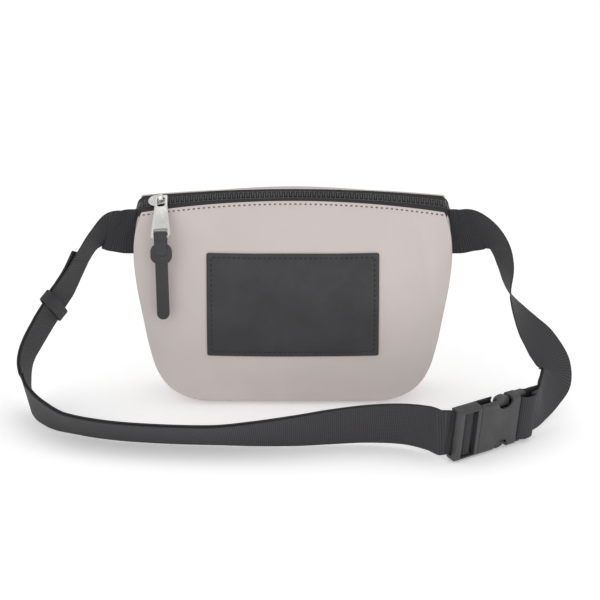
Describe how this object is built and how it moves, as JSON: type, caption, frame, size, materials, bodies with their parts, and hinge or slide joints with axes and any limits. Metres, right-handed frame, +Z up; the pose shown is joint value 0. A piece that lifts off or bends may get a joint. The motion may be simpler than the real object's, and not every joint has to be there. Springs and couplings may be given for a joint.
{
  "type": "belt bag",
  "caption": "Soft zipped belt bag with a leather patch, worn on a webbing belt closed by a side-release buckle.",
  "frame": {"origin": "middle of the flat base of the pouch, on the surface it stands on", "axes": "+X to the pouch's right end seen from the front, +Y to its back, +Z up; the belt lies in a loop in front"},
  "size_m": [0.4368, 0.1805, 0.1721],
  "materials": {
    "pouch_fabric": "coated, matte, fine grain",
    "binding": "woven tape",
    "patch_leather": "matte, fine grain",
    "tab_leather": "smooth, satin",
    "zip_tape": "woven",
    "zip_teeth": "dark, satin",
    "slider_metal": "satin plated",
    "webbing": "ribbed weave",
    "buckle_plastic": "moulded, matte"
  },
  "bodies": {
    "bag": {"front_panel": "pouch_fabric", "back_panel": "pouch_fabric", "gusset_band": "pouch_fabric", "seam_binding_front": "binding", "seam_binding_back": "binding", "front_patch": "patch_leather", "zip_tape_front": "zip_tape", "zip_tape_back": "zip_tape", "zip_teeth_front": "zip_teeth", "zip_teeth_back": "zip_teeth"},
    "slider": {"zip_slider": "slider_metal"},
    "pull": {"zip_pull": "slider_metal"},
    "tab": {"pull_tab": "tab_leather"},
    "left_belt": {"strap_left": "webbing", "buckle_plug": "buckle_plastic"},
    "right_belt": {"strap_right": "webbing", "buckle_socket": "buckle_plastic"},
    "keeper": {"keeper_loop": "webbing"},
    "prong_upper": {"buckle_prong_upper": "buckle_plastic"},
    "prong_lower": {"buckle_prong_lower": "buckle_plastic"}
  },
  "joints": [
    {"name": "zip_slide", "type": "hinge", "parent": "bag", "child": "slider", "pos_m": [0, 0.32563, -0.45056], "axis": [0, 0.8829, 0.4695], "range_deg": [0, 17.5]},
    {"name": "pull_swing", "type": "hinge", "parent": "slider", "child": "pull", "pos_m": [-0.10343, -0.00187, 0.16537], "axis": [0.9885, -0.0711, 0.1337], "range_deg": [-180, 0]},
    {"name": "tab_swing", "type": "hinge", "parent": "pull", "child": "tab", "pos_m": [-0.10271, -0.03351, 0.14327], "axis": [0.9885, -0.0711, 0.1337], "range_deg": [-110, 0]},
    {"name": "belt_swing", "type": "hinge", "parent": "bag", "child": "left_belt", "pos_m": [0, 0.002, 0.136], "axis": [-1, 0, 0], "range_deg": [0, 216]},
    {"name": "buckle_release", "type": "slide", "parent": "left_belt", "child": "right_belt", "axis": [0.8039, 0.5948, 0], "range_m": [0, 0.03]},
    {"name": "keeper_slide", "type": "slide", "parent": "left_belt", "child": "keeper", "axis": [-0.519, -0.173, -0.8371], "range_m": [-0.008, 0.008]},
    {"name": "prong_upper_press", "type": "hinge", "parent": "left_belt", "child": "prong_upper", "pos_m": [0.13968, -0.13003, 0.03577], "axis": [-0.589, 0.796, 0.1392], "range_deg": [0, 9], "stiffness_Nm_per_rad": 0.05},
    {"name": "prong_lower_press", "type": "hinge", "parent": "left_belt", "child": "prong_lower", "pos_m": [0.13753, -0.12712, 0.01003], "axis": [0.589, -0.796, -0.1392], "range_deg": [0, 9], "stiffness_Nm_per_rad": 0.05}
  ]
}
